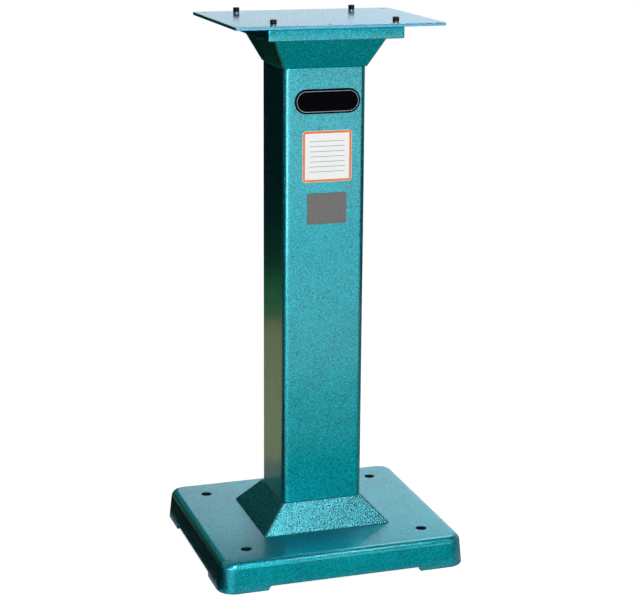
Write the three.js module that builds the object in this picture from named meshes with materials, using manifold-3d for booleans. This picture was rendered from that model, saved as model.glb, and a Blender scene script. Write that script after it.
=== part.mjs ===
// Bench grinder stand: a floor pedestal with a hollow cast base, a pyramid shoe, a rectangular tube column,
// a flared collar, a flange and a thin mounting plate, all held together by one tie rod down the column.
// Millimetres, +Z up. The origin is on the floor, on the axis of the column, and the front faces -Y.

import * as THREE from 'three';
import { mergeVertices } from 'three/addons/utils/BufferGeometryUtils.js';
import Module from 'manifold-3d';

const wasm = await Module();
wasm.setup();

// Heights of the stack, from the floor up
const BASE_HEIGHT = 47;
const SHOE_HEIGHT = 40;
const COLUMN_HEIGHT = 666;
const FLARE_HEIGHT = 44.5;
const FLANGE_THICKNESS = 17;
const PLATE_THICKNESS = 4.75;

// Base casting
const BASE_WIDTH = 389;
const BASE_DEPTH = 348;
const BASE_CORNER_RADIUS = 27;
const BASE_DRAFT = 5;
const BASE_EDGE_RADIUS = 11;
const BASE_WALL = 9;
const BASE_TOP_THICKNESS = 10;
const FOOT_LENGTH = 75;
const FOOT_HEIGHT = 6.25;
const FOOT_FILLET = 5;
const ANCHOR_SPACING_X = 280;
const ANCHOR_SPACING_Y = 237;
const ANCHOR_HOLE_DIAMETER = 16;
const ANCHOR_BOSS_DIAMETER = 38;
const HUB_DIAMETER = 64;
const HUB_DROP = 8;

// Column tube
const COLUMN_WIDTH = 127;
const COLUMN_DEPTH = 113;
const COLUMN_CORNER_RADIUS = 10;
const COLUMN_WALL = 4.75;

// Shoe and flare, the two four-sided castings at the ends of the column
const SHOE_WIDTH = 203;
const SHOE_DEPTH = 171;
const FLARE_WIDTH = 172;
const FLARE_DEPTH = 166;
const COLLAR_LEDGE = 0.5;
const COLLAR_WALL = 9;
const COLLAR_FLOOR = 8;
const COLLAR_CORNER_RADIUS = 3;
const SPIGOT_HEIGHT = 12;
const REGISTER_HEIGHT = 4;
const REGISTER_CLEARANCE = 0.5;

// Flange with its cup for the upper nut
const FLANGE_WIDTH = 204;
const FLANGE_DEPTH = 216;
const FLANGE_CORNER_RADIUS = 3;
const CUP_DIAMETER = 76;
const CUP_WALL = 8;
const CUP_FLOOR = 8;

// Mounting plate, set a little to the right of and behind the column's axis
const PLATE_WIDTH = 314;
const PLATE_DEPTH = 245;
const PLATE_OFFSET_X = 7;
const PLATE_OFFSET_Y = 11;
const PLATE_CORNER_RADIUS = 3;
const MACHINE_HOLE_DIAMETER = 7.5;
const MACHINE_HOLE_EDGE = 14;
const FRONT_HOLE_X = -8;
const SEAT_SIZE = 90;

// Quarter inch socket head cap screws, each on a tall lock washer as wide as its head
const SCREW_SPACING_X = 183;
const SCREW_SPACING_Y = 195;
const SCREW_DIAMETER = 6.35;
const SCREW_LENGTH = 19;
const SCREW_HEAD_DIAMETER = 9.5;
const SCREW_HEAD_HEIGHT = 6.35;
const SCREW_HEAD_CHAMFER = 0.6;
const SOCKET_ACROSS_FLATS = 4.8;
const SOCKET_DEPTH = 3.2;
const SCREW_CLEARANCE = 0.3;
const SCREW_WASHER_DIAMETER = 9.3;
const SCREW_WASHER_THICKNESS = 2;
const SCREW_WASHER_GAP = 1;

// Tie rod and its nuts and washers
const ROD_DIAMETER = 16;
const ROD_HOLE_DIAMETER = 17;
const ROD_END_ABOVE_FLOOR = 5;
const ROD_END_ABOVE_NUT = 8;
const ROD_END_CHAMFER = 1.5;
const NUT_ACROSS_FLATS = 24;
const NUT_HEIGHT = 13;
const NUT_HOLE_DIAMETER = 16.6;
const NUT_CHAMFER = 2;
const NUT_CHAMFER_ANGLE = Math.PI / 6;
const FLAT_WASHER_DIAMETER = 30;
const FLAT_WASHER_THICKNESS = 3;
const LOCK_WASHER_DIAMETER = 27;
const LOCK_WASHER_THICKNESS = 4;
const LOCK_WASHER_GAP = 2.5;
const WASHER_HOLE_DIAMETER = 17;
const LOCK_WASHER_SLANT = Math.PI / 6;

// Plates and labels on the column's front face
const LABEL_CENTRE_X = 3;
const NAMEPLATE_WIDTH = 100;
const NAMEPLATE_HEIGHT = 36;
const NAMEPLATE_END_RADIUS = 17.5;
const NAMEPLATE_THICKNESS = 1.5;
const NAMEPLATE_Z = 704;
const WHITE_LABEL_SIZE = 76;
const WHITE_LABEL_RADIUS = 5;
const WHITE_LABEL_Z = 623;
const FOIL_WIDTH = 61;
const FOIL_HEIGHT = 46.5;
const FOIL_RADIUS = 1;
const FOIL_Z = 545;
const LABEL_THICKNESS = 0.5;
const GLUE_THICKNESS = 0.25;

// Smoothness of round shapes
const CORNER_STEPS = 6;
const SMALL_CORNER_STEPS = 2;
const EDGE_STEPS = 4;
const ROUND_SEGMENTS = 24;
const CUT_MARGIN = 5;
const MERGE_DISTANCE = 1e-4;

// Levels that the pieces share
const SHOE_Z = BASE_HEIGHT;
const COLUMN_Z = SHOE_Z + SHOE_HEIGHT;
const FLARE_Z = COLUMN_Z + COLUMN_HEIGHT;
const FLANGE_Z = FLARE_Z + FLARE_HEIGHT;
const PLATE_Z = FLANGE_Z + FLANGE_THICKNESS;
const PLATE_TOP_Z = PLATE_Z + PLATE_THICKNESS;
const COLUMN_FRONT_Y = -COLUMN_DEPTH / 2;

// Finishes
const hammeredPaint = { color: 0x1f8a92, roughness: 0.35, metalness: 0.2 };
const platePaint = { color: 0x3d9fb0, roughness: 0.25, metalness: 0.2 };
const blackOxide = { color: 0x17171a, roughness: 0.45, metalness: 0.6 };
const zincSteel = { color: 0xa9adb0, roughness: 0.35, metalness: 0.9 };
const blackEnamel = { color: 0x0b0b0d, roughness: 0.3, metalness: 0.1 };
const whiteVinyl = { color: 0xf3f1ec, roughness: 0.45, metalness: 0 };
const brushedFoil = { color: 0xb9b6b0, roughness: 0.35, metalness: 0.8 };

// A closed geometry as a solid that can be joined and cut
function solid(geometry) {
  const bare = geometry.clone();
  bare.deleteAttribute('normal');
  bare.deleteAttribute('uv');
  const merged = mergeVertices(bare, MERGE_DISTANCE);
  const corners = merged.index.array;
  const triVerts = [];
  for (let i = 0; i < corners.length; i += 3) {
    const [a, b, c] = [corners[i], corners[i + 1], corners[i + 2]];
    if (a !== b && b !== c && c !== a) triVerts.push(a, b, c);
  }
  const vertProperties = new Float32Array(merged.attributes.position.array);
  const parts = { numProp: 3, vertProperties, triVerts: new Uint32Array(triVerts) };
  return new wasm.Manifold(new wasm.Mesh(parts));
}

// A solid as a geometry again
function geometryOf(body) {
  const { vertProperties, triVerts } = body.getMesh();
  const geometry = new THREE.BufferGeometry();
  geometry.setAttribute('position', new THREE.BufferAttribute(vertProperties, 3));
  geometry.setIndex(new THREE.BufferAttribute(triVerts, 1));
  geometry.computeVertexNormals();
  return geometry;
}

function piece(name, geometry, finish) {
  const mesh = new THREE.Mesh(geometry, new THREE.MeshStandardMaterial(finish));
  mesh.name = name;
  return mesh;
}

// Corner points of a rectangle with round corners, counter-clockwise
function roundedRectangle(width, depth, radius, steps = CORNER_STEPS) {
  const points = [];
  const corners = [[1, 1], [-1, 1], [-1, -1], [1, -1]];
  corners.forEach(([sideX, sideY], quarter) => {
    for (let step = 0; step <= steps; step++) {
      const angle = (quarter + step / steps) * Math.PI / 2;
      const x = sideX * (width / 2 - radius) + radius * Math.cos(angle);
      const y = sideY * (depth / 2 - radius) + radius * Math.sin(angle);
      points.push(new THREE.Vector2(x, y));
    }
  });
  return points;
}

function circle(centreX, centreY, radius) {
  const outline = new THREE.Path().absarc(centreX, centreY, radius, 0, 2 * Math.PI, false);
  return outline.getPoints(ROUND_SEGMENTS / 2).slice(0, -1);
}

// A closed solid through outlines of equal length, each { points, z }, from the lowest to the highest
function loft(sections) {
  const count = sections[0].points.length;
  const positions = [];
  for (const { points, z } of sections) {
    for (const point of points) positions.push(point.x, point.y, z);
  }
  const index = [];
  for (let level = 0; level + 1 < sections.length; level++) {
    for (let i = 0; i < count; i++) {
      const here = level * count + i;
      const next = level * count + (i + 1) % count;
      index.push(here, next, next + count, here, next + count, here + count);
    }
  }
  const topStart = (sections.length - 1) * count;
  for (const [a, b, c] of THREE.ShapeUtils.triangulateShape(sections[0].points, [])) index.push(c, b, a);
  for (const [a, b, c] of THREE.ShapeUtils.triangulateShape(sections.at(-1).points, [])) {
    index.push(topStart + a, topStart + b, topStart + c);
  }
  const geometry = new THREE.BufferGeometry();
  geometry.setAttribute('position', new THREE.Float32BufferAttribute(positions, 3));
  geometry.setIndex(index);
  return geometry;
}

// A straight block with round vertical corners, standing on z
function block(width, depth, radius, z, height) {
  const points = roundedRectangle(width, depth, radius);
  return loft([{ points, z }, { points, z: z + height }]);
}

function cylinder(diameter, z, height, x = 0, y = 0) {
  const geometry = new THREE.CylinderGeometry(diameter / 2, diameter / 2, height, ROUND_SEGMENTS);
  return geometry.rotateX(Math.PI / 2).translate(x, y, z + height / 2);
}

function rodHole(z, height) {
  return solid(cylinder(ROD_HOLE_DIAMETER, z - CUT_MARGIN, height + 2 * CUT_MARGIN));
}

// The four corners of a spacing, with names
function fourCorners(spacingX, spacingY) {
  const corners = [];
  for (const [depthName, sideY] of [['front', -1], ['back', 1]]) {
    for (const [sideName, sideX] of [['left', -1], ['right', 1]]) {
      corners.push({ name: `${depthName}_${sideName}`, x: sideX * spacingX / 2, y: sideY * spacingY / 2 });
    }
  }
  return corners;
}

// The base's outside: a drafted skirt that rolls over into the flat top
function baseOutside() {
  const lean = Math.atan2(BASE_DRAFT, BASE_HEIGHT);
  const arcCentreZ = BASE_HEIGHT - BASE_EDGE_RADIUS;
  const tangentZ = arcCentreZ + BASE_EDGE_RADIUS * Math.sin(lean);
  const arcCentreInset = BASE_EDGE_RADIUS * Math.cos(lean) + tangentZ * Math.tan(lean);
  const outline = (inset) =>
    roundedRectangle(BASE_WIDTH - 2 * inset, BASE_DEPTH - 2 * inset, BASE_CORNER_RADIUS - inset);
  const sections = [{ points: outline(0), z: 0 }];
  for (let step = 0; step <= EDGE_STEPS; step++) {
    const angle = lean + (Math.PI / 2 - lean) * step / EDGE_STEPS;
    const inset = arcCentreInset - BASE_EDGE_RADIUS * Math.cos(angle);
    sections.push({ points: outline(inset), z: arcCentreZ + BASE_EDGE_RADIUS * Math.sin(angle) });
  }
  return loft(sections);
}

// The hollow under the base, with the hub and the anchor bosses left standing in it
function baseHollow() {
  const ceiling = BASE_HEIGHT - BASE_TOP_THICKNESS;
  const outline = (z) => {
    const inset = BASE_WALL + BASE_DRAFT * z / BASE_HEIGHT;
    return roundedRectangle(BASE_WIDTH - 2 * inset, BASE_DEPTH - 2 * inset, BASE_CORNER_RADIUS - inset);
  };
  const mouth = { points: outline(0), z: -CUT_MARGIN };
  let hollow = solid(loft([mouth, { points: outline(ceiling), z: ceiling }]));
  hollow = hollow.subtract(solid(cylinder(HUB_DIAMETER, ceiling - HUB_DROP, HUB_DROP + CUT_MARGIN)));
  for (const { x, y } of fourCorners(ANCHOR_SPACING_X, ANCHOR_SPACING_Y)) {
    hollow = hollow.subtract(solid(cylinder(ANCHOR_BOSS_DIAMETER, -2 * CUT_MARGIN, BASE_HEIGHT, x, y)));
  }
  return hollow;
}

// The shallow relief between two feet, as a bar that runs across the whole base along Y
function footRelief(length, reach) {
  const half = length / 2;
  const outline = new THREE.Shape();
  outline.moveTo(-half, -CUT_MARGIN);
  outline.lineTo(half, -CUT_MARGIN);
  outline.lineTo(half, FOOT_HEIGHT - FOOT_FILLET);
  outline.absarc(half - FOOT_FILLET, FOOT_HEIGHT - FOOT_FILLET, FOOT_FILLET, 0, Math.PI / 2);
  outline.absarc(FOOT_FILLET - half, FOOT_HEIGHT - FOOT_FILLET, FOOT_FILLET, Math.PI / 2, Math.PI);
  outline.closePath();
  const bar = new THREE.ExtrudeGeometry(outline, {
    depth: reach,
    bevelEnabled: false,
    curveSegments: EDGE_STEPS,
  });
  return bar.translate(0, 0, -reach / 2).rotateX(Math.PI / 2);
}

// Inside size of the shoe's mouth where the base's register stands in it
function registerSize() {
  const shrink = REGISTER_HEIGHT / SHOE_HEIGHT;
  const topWidth = COLUMN_WIDTH + 2 * COLLAR_LEDGE;
  const topDepth = COLUMN_DEPTH + 2 * COLLAR_LEDGE;
  const margin = 2 * (COLLAR_WALL + REGISTER_CLEARANCE);
  return {
    width: SHOE_WIDTH - (SHOE_WIDTH - topWidth) * shrink - margin,
    depth: SHOE_DEPTH - (SHOE_DEPTH - topDepth) * shrink - margin,
  };
}

function baseCasting() {
  const register = registerSize();
  const frontRelief = footRelief(BASE_WIDTH - 2 * FOOT_LENGTH, 2 * BASE_DEPTH);
  const sideRelief = footRelief(BASE_DEPTH - 2 * FOOT_LENGTH, 2 * BASE_WIDTH).rotateZ(Math.PI / 2);
  let body = solid(baseOutside()).subtract(baseHollow());
  const raised = block(
    register.width, register.depth, COLLAR_CORNER_RADIUS,
    BASE_HEIGHT - REGISTER_HEIGHT, 2 * REGISTER_HEIGHT,
  );
  body = body.add(solid(raised));
  body = body.subtract(solid(frontRelief)).subtract(solid(sideRelief));
  body = body.subtract(rodHole(0, BASE_HEIGHT));
  for (const { x, y } of fourCorners(ANCHOR_SPACING_X, ANCHOR_SPACING_Y)) {
    const hole = cylinder(ANCHOR_HOLE_DIAMETER, -CUT_MARGIN, BASE_HEIGHT + 2 * CUT_MARGIN, x, y);
    body = body.subtract(solid(hole));
  }
  return piece('base_casting', geometryOf(body), hammeredPaint);
}

// A four-sided collar that tapers from its mouth, at z 0, to the column's outline, at its height, with a
// floor there, a spigot that stands out of that end into the tube, and a hole for the tie rod
function collar(mouthWidth, mouthDepth, height) {
  const endWidth = COLUMN_WIDTH + 2 * COLLAR_LEDGE;
  const endDepth = COLUMN_DEPTH + 2 * COLLAR_LEDGE;
  const outline = (z, wall) => {
    const width = mouthWidth + (endWidth - mouthWidth) * z / height - 2 * wall;
    const depth = mouthDepth + (endDepth - mouthDepth) * z / height - 2 * wall;
    return roundedRectangle(width, depth, COLLAR_CORNER_RADIUS, SMALL_CORNER_STEPS);
  };
  const outside = loft([{ points: outline(0, 0), z: 0 }, { points: outline(height, 0), z: height }]);
  const ceiling = height - COLLAR_FLOOR;
  const inside = loft([
    { points: outline(-CUT_MARGIN, COLLAR_WALL), z: -CUT_MARGIN },
    { points: outline(ceiling, COLLAR_WALL), z: ceiling },
  ]);
  const spigot = block(
    COLUMN_WIDTH - 2 * (COLUMN_WALL + REGISTER_CLEARANCE),
    COLUMN_DEPTH - 2 * (COLUMN_WALL + REGISTER_CLEARANCE),
    COLUMN_CORNER_RADIUS - COLUMN_WALL,
    height - COLLAR_FLOOR / 2,
    SPIGOT_HEIGHT + COLLAR_FLOOR / 2,
  );
  const body = solid(outside).subtract(solid(inside)).add(solid(spigot));
  return body.subtract(rodHole(0, height + SPIGOT_HEIGHT));
}

function columnShoe() {
  const shoe = piece('column_shoe', geometryOf(collar(SHOE_WIDTH, SHOE_DEPTH, SHOE_HEIGHT)), hammeredPaint);
  shoe.position.z = SHOE_Z;
  return shoe;
}

// The flare is the same kind of collar, turned over about X so that its mouth is on top
function flareCollar() {
  const geometry = geometryOf(collar(FLARE_WIDTH, FLARE_DEPTH, FLARE_HEIGHT));
  geometry.scale(1, -1, -1);
  const flare = piece('flare_collar', geometry, hammeredPaint);
  flare.position.z = FLANGE_Z;
  return flare;
}

function columnTube() {
  const outline = new THREE.Shape(roundedRectangle(COLUMN_WIDTH, COLUMN_DEPTH, COLUMN_CORNER_RADIUS));
  outline.holes.push(new THREE.Path(roundedRectangle(
    COLUMN_WIDTH - 2 * COLUMN_WALL,
    COLUMN_DEPTH - 2 * COLUMN_WALL,
    COLUMN_CORNER_RADIUS - COLUMN_WALL,
  )));
  const geometry = new THREE.ExtrudeGeometry(outline, { depth: COLUMN_HEIGHT, bevelEnabled: false });
  const tube = piece('column_tube', geometry, hammeredPaint);
  tube.position.z = COLUMN_Z;
  return tube;
}

// The flange rests on the flare's rim, and its cup on the flare's floor
function topFlange() {
  const cupDrop = FLARE_HEIGHT - COLLAR_FLOOR;
  const band = block(FLANGE_WIDTH, FLANGE_DEPTH, FLANGE_CORNER_RADIUS, 0, FLANGE_THICKNESS);
  const cup = cylinder(CUP_DIAMETER, -cupDrop, cupDrop + FLANGE_THICKNESS / 2);
  const cupInside = cylinder(
    CUP_DIAMETER - 2 * CUP_WALL, CUP_FLOOR - cupDrop, cupDrop + FLANGE_THICKNESS + CUT_MARGIN,
  );
  let body = solid(band).add(solid(cup)).subtract(solid(cupInside)).subtract(rodHole(-cupDrop, CUP_FLOOR));
  for (const { x, y } of fourCorners(SCREW_SPACING_X, SCREW_SPACING_Y)) {
    const diameter = SCREW_DIAMETER + 2 * SCREW_CLEARANCE;
    body = body.subtract(solid(cylinder(diameter, -CUT_MARGIN, FLANGE_THICKNESS + 2 * CUT_MARGIN, x, y)));
  }
  const flange = piece('top_flange', geometryOf(body), hammeredPaint);
  flange.position.z = FLANGE_Z;
  return flange;
}

// The plate's open holes for a machine: one in each back corner and one at the front
function machineHoles() {
  const sideX = PLATE_WIDTH / 2 - MACHINE_HOLE_EDGE;
  const backY = PLATE_OFFSET_Y + PLATE_DEPTH / 2 - MACHINE_HOLE_EDGE;
  const frontY = PLATE_OFFSET_Y - PLATE_DEPTH / 2 + MACHINE_HOLE_EDGE;
  return [
    { x: PLATE_OFFSET_X - sideX, y: backY },
    { x: PLATE_OFFSET_X + sideX, y: backY },
    { x: FRONT_HOLE_X, y: frontY },
  ];
}

// The plate: its faces keep a plain square seat in the middle, with the holes in the field around it
function mountingPlate() {
  const centre = new THREE.Vector2(PLATE_OFFSET_X, PLATE_OFFSET_Y);
  const outline = roundedRectangle(PLATE_WIDTH, PLATE_DEPTH, PLATE_CORNER_RADIUS, SMALL_CORNER_STEPS)
    .map((point) => point.add(centre));
  const half = SEAT_SIZE / 2;
  const seat = [[half, half], [-half, half], [-half, -half], [half, -half]]
    .map(([x, y]) => new THREE.Vector2(x, y).add(centre));
  const screwHoles = fourCorners(SCREW_SPACING_X, SCREW_SPACING_Y)
    .map(({ x, y }) => circle(x, y, SCREW_DIAMETER / 2 + SCREW_CLEARANCE));
  const openHoles = machineHoles().map(({ x, y }) => circle(x, y, MACHINE_HOLE_DIAMETER / 2));
  const loops = [outline, ...screwHoles, ...openHoles, seat];
  const points = loops.flat();
  const faces = THREE.ShapeUtils.triangulateShape(outline, loops.slice(1));
  const seatStart = points.length - seat.length;
  faces.push([seatStart, seatStart + 1, seatStart + 2], [seatStart, seatStart + 2, seatStart + 3]);

  const positions = [];
  for (const z of [0, PLATE_THICKNESS]) {
    for (const point of points) positions.push(point.x, point.y, z);
  }
  const index = [];
  for (const [a, b, c] of faces) {
    index.push(c, b, a, points.length + a, points.length + b, points.length + c);
  }
  let start = 0;
  for (const loop of loops.slice(0, -1)) {
    for (let i = 0; i < loop.length; i++) {
      const here = start + i;
      const next = start + (i + 1) % loop.length;
      const [from, to] = loop === outline ? [here, next] : [next, here];
      index.push(from, to, points.length + to, from, points.length + to, points.length + from);
    }
    start += loop.length;
  }
  const geometry = new THREE.BufferGeometry();
  geometry.setAttribute('position', new THREE.Float32BufferAttribute(positions, 3));
  geometry.setIndex(index);
  geometry.computeVertexNormals();
  const plate = piece('mounting_plate', geometry, platePaint);
  plate.position.z = PLATE_Z;
  return plate;
}

// A solid of revolution about Z from points of [radius, z], given from the bottom to the top
function turned(profile) {
  const points = profile.map(([radius, z]) => new THREE.Vector2(radius, z));
  return solid(new THREE.LatheGeometry(points, ROUND_SEGMENTS).rotateX(Math.PI / 2));
}

// A hexagonal bar by its width across flats
function hexagon(acrossFlats, z, height) {
  const radius = acrossFlats / Math.sqrt(3);
  const geometry = new THREE.CylinderGeometry(radius, radius, height, 6);
  return solid(geometry.rotateX(Math.PI / 2).translate(0, 0, z + height / 2));
}

// A cap screw whose head stands on z 0, with its shank below
function capScrew() {
  const headRadius = SCREW_HEAD_DIAMETER / 2;
  const shankRadius = SCREW_DIAMETER / 2;
  const body = turned([
    [0, -SCREW_LENGTH],
    [shankRadius - SCREW_HEAD_CHAMFER, -SCREW_LENGTH],
    [shankRadius, SCREW_HEAD_CHAMFER - SCREW_LENGTH],
    [shankRadius, 0],
    [headRadius, 0],
    [headRadius, SCREW_HEAD_HEIGHT - SCREW_HEAD_CHAMFER],
    [headRadius - SCREW_HEAD_CHAMFER, SCREW_HEAD_HEIGHT],
    [0, SCREW_HEAD_HEIGHT],
  ]);
  const socket = hexagon(SOCKET_ACROSS_FLATS, SCREW_HEAD_HEIGHT - SOCKET_DEPTH, 2 * SOCKET_DEPTH);
  return geometryOf(body.subtract(socket));
}

// A ring of square section, standing on z 0
function ring(outerDiameter, holeDiameter, thickness) {
  const [outer, inner] = [outerDiameter / 2, holeDiameter / 2];
  return turned([[inner, 0], [outer, 0], [outer, thickness], [inner, thickness], [inner, 0]]);
}

// A ring cut through at a slant on its +X side
function lockWasher(outerDiameter, holeDiameter, thickness, gap) {
  const split = new THREE.BoxGeometry(outerDiameter, gap, 3 * thickness);
  split.rotateX(LOCK_WASHER_SLANT).translate(outerDiameter / 2, 0, thickness / 2);
  return geometryOf(ring(outerDiameter, holeDiameter, thickness).subtract(solid(split)));
}

// The four cap screws and their lock washers, at the corners of the flange
function plateScrews() {
  const screwGeometry = capScrew();
  const holeDiameter = SCREW_DIAMETER + 2 * SCREW_CLEARANCE;
  const washerGeometry = lockWasher(
    SCREW_WASHER_DIAMETER, holeDiameter, SCREW_WASHER_THICKNESS, SCREW_WASHER_GAP,
  );
  return fourCorners(SCREW_SPACING_X, SCREW_SPACING_Y).flatMap(({ name, x, y }) => {
    const washer = piece(`screw_washer_${name}`, washerGeometry, zincSteel);
    washer.position.set(x, y, PLATE_TOP_Z);
    const screw = piece(`plate_screw_${name}`, screwGeometry, blackOxide);
    screw.position.set(x, y, PLATE_TOP_Z + SCREW_WASHER_THICKNESS);
    return [washer, screw];
  });
}

// A hexagon nut, standing on z 0, with the corners of both ends turned off
function tieNut() {
  const cornerRadius = NUT_ACROSS_FLATS / Math.sqrt(3);
  const faceRadius = cornerRadius - NUT_CHAMFER;
  const rise = NUT_CHAMFER * Math.tan(NUT_CHAMFER_ANGLE);
  const turnedOff = turned([
    [0, 0],
    [faceRadius, 0],
    [cornerRadius + NUT_CHAMFER, 2 * rise],
    [cornerRadius + NUT_CHAMFER, NUT_HEIGHT - 2 * rise],
    [faceRadius, NUT_HEIGHT],
    [0, NUT_HEIGHT],
  ]);
  const hole = solid(cylinder(NUT_HOLE_DIAMETER, -CUT_MARGIN, NUT_HEIGHT + 2 * CUT_MARGIN));
  return geometryOf(hexagon(NUT_ACROSS_FLATS, 0, NUT_HEIGHT).intersect(turnedOff).subtract(hole));
}

// The tie rod with a flat washer, a lock washer and a nut at each end
function tieRodSet() {
  const nut = tieNut();
  const lock = lockWasher(
    LOCK_WASHER_DIAMETER, WASHER_HOLE_DIAMETER, LOCK_WASHER_THICKNESS, LOCK_WASHER_GAP,
  );
  const flat = geometryOf(ring(FLAT_WASHER_DIAMETER, WASHER_HOLE_DIAMETER, FLAT_WASHER_THICKNESS));
  const stack = [
    ['flat_washer', flat, FLAT_WASHER_THICKNESS],
    ['lock_washer', lock, LOCK_WASHER_THICKNESS],
    ['tie_nut', nut, NUT_HEIGHT],
  ];
  const pieces = [];
  let lowerZ = BASE_HEIGHT - BASE_TOP_THICKNESS - HUB_DROP;
  let upperZ = FLARE_Z + COLLAR_FLOOR + CUP_FLOOR;
  for (const [name, geometry, thickness] of stack) {
    lowerZ -= thickness;
    const lower = piece(`lower_${name}`, geometry, zincSteel);
    lower.position.z = lowerZ;
    const upper = piece(`upper_${name}`, geometry, zincSteel);
    upper.position.z = upperZ;
    upperZ += thickness;
    pieces.push(lower, upper);
  }
  const rodTop = upperZ + ROD_END_ABOVE_NUT;
  const radius = ROD_DIAMETER / 2;
  const rod = turned([
    [0, ROD_END_ABOVE_FLOOR],
    [radius - ROD_END_CHAMFER, ROD_END_ABOVE_FLOOR],
    [radius, ROD_END_ABOVE_FLOOR + ROD_END_CHAMFER],
    [radius, rodTop - ROD_END_CHAMFER],
    [radius - ROD_END_CHAMFER, rodTop],
    [0, rodTop],
  ]);
  pieces.push(piece('tie_rod', geometryOf(rod), zincSteel));
  return pieces;
}

// A thin plate or label glued to the column's front face
function frontLabel(name, width, height, radius, thickness, centreZ, finish) {
  const geometry = block(width, height, radius, 0, thickness);
  const label = piece(name, geometry, finish);
  label.rotation.x = Math.PI / 2;
  label.position.set(LABEL_CENTRE_X, COLUMN_FRONT_Y - GLUE_THICKNESS, centreZ);
  return label;
}

function frontLabels() {
  return [
    frontLabel(
      'nameplate', NAMEPLATE_WIDTH, NAMEPLATE_HEIGHT, NAMEPLATE_END_RADIUS,
      NAMEPLATE_THICKNESS, NAMEPLATE_Z, blackEnamel,
    ),
    frontLabel(
      'white_label', WHITE_LABEL_SIZE, WHITE_LABEL_SIZE, WHITE_LABEL_RADIUS,
      LABEL_THICKNESS, WHITE_LABEL_Z, whiteVinyl,
    ),
    frontLabel('foil_plate', FOIL_WIDTH, FOIL_HEIGHT, FOIL_RADIUS, LABEL_THICKNESS, FOIL_Z, brushedFoil),
  ];
}

const stand = new THREE.Group();
stand.add(
  baseCasting(),
  columnShoe(),
  columnTube(),
  flareCollar(),
  topFlange(),
  mountingPlate(),
  ...plateScrews(),
  ...tieRodSet(),
  ...frontLabels(),
);

export default stand;
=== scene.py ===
"""Looks of a bench grinder stand: fine meshes over the frame, their finishes, a studio and a camera."""

import math

import bmesh
import bpy
from mathutils import Matrix, Vector


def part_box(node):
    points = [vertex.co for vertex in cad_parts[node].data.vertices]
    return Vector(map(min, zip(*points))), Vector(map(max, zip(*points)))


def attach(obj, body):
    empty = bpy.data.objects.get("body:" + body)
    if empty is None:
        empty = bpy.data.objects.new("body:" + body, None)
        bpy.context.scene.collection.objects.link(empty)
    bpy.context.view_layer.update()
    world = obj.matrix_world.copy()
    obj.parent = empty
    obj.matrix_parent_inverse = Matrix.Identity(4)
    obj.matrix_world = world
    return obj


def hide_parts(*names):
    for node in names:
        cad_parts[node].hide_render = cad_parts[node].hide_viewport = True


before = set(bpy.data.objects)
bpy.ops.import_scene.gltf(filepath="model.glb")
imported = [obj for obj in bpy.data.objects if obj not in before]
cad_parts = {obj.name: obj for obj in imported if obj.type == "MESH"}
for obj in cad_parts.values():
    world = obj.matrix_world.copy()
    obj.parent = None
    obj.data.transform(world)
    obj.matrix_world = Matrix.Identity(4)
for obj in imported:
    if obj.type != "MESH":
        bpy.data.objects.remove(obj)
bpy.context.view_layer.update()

MM = 0.001

# Base casting
BASE_CORNER_RADIUS = 27 * MM
BASE_DRAFT = 5 * MM
BASE_EDGE_RADIUS = 11 * MM
BASE_BOTTOM_RADIUS = 3 * MM
BASE_WALL = 9 * MM
BASE_TOP_THICKNESS = 10 * MM
CEILING_FILLET = 6 * MM
FOOT_LENGTH = 75 * MM
FOOT_HEIGHT = 6.25 * MM
FOOT_FILLET = 5 * MM
FOOT_LEAD = 0.6 * MM
ANCHOR_SPACING_X = 280 * MM
ANCHOR_SPACING_Y = 237 * MM
ANCHOR_HOLE_RADIUS = 8 * MM
ANCHOR_RIM = 0.9 * MM
BOSS_RADIUS = 19 * MM
BOSS_FILLET = 4 * MM
HUB_RADIUS = 32 * MM
HUB_DROP = 8 * MM

# Shoe and flare, the two four-sided collars
COLLAR_RADIUS = 3 * MM
COLLAR_LEDGE = 0.5 * MM
COLLAR_EDGE = 0.4 * MM
COLLAR_RIM = 1.4 * MM
COLLAR_WALL = 9 * MM
COLLAR_FLOOR = 8 * MM
REGISTER_CLEARANCE = 0.5 * MM
ROD_HOLE_RADIUS = 8.5 * MM

# Column tube
COLUMN_RADIUS = 10 * MM
COLUMN_WALL = 4.75 * MM
COLUMN_EDGE = 1.2 * MM

# Flange and its cup
FLANGE_RADIUS = 3 * MM
FLANGE_EDGE = 1.8 * MM
CUP_RADIUS = 38 * MM
CUP_WALL = 8 * MM
CUP_FLOOR = 8 * MM
TAPPED_HOLE_RADIUS = 3.475 * MM

# Mounting plate
PLATE_RADIUS = 3 * MM
PLATE_EDGE = 0.8 * MM
MACHINE_HOLE_RADIUS = 3.75 * MM
MACHINE_HOLE_EDGE = 14 * MM
FRONT_HOLE_X = -8 * MM
HOLE_RIM = 0.35 * MM

# Cap screws
SCREW_RADIUS = 3.175 * MM
SCREW_PITCH = 1.27 * MM
SCREW_THREAD_DEPTH = 0.5 * MM
THREAD_STEPS = 4
HEAD_CHAMFER = 0.6 * MM
KNURL_DEPTH = 0.22 * MM
KNURL_COUNT = 30
KNURL_STEPS = 4
SOCKET_ACROSS_FLATS = 4.8 * MM
SOCKET_MOUTH = 1.06
SOCKET_DEPTH = 3.2 * MM
SOCKET_CONE = 0.9 * MM
SOCKET_POINT_RADIUS = SOCKET_ACROSS_FLATS / 8
SCREW_WASHER_HOLE_RADIUS = 3.475 * MM
SCREW_WASHER_EDGE = 0.15 * MM

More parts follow.
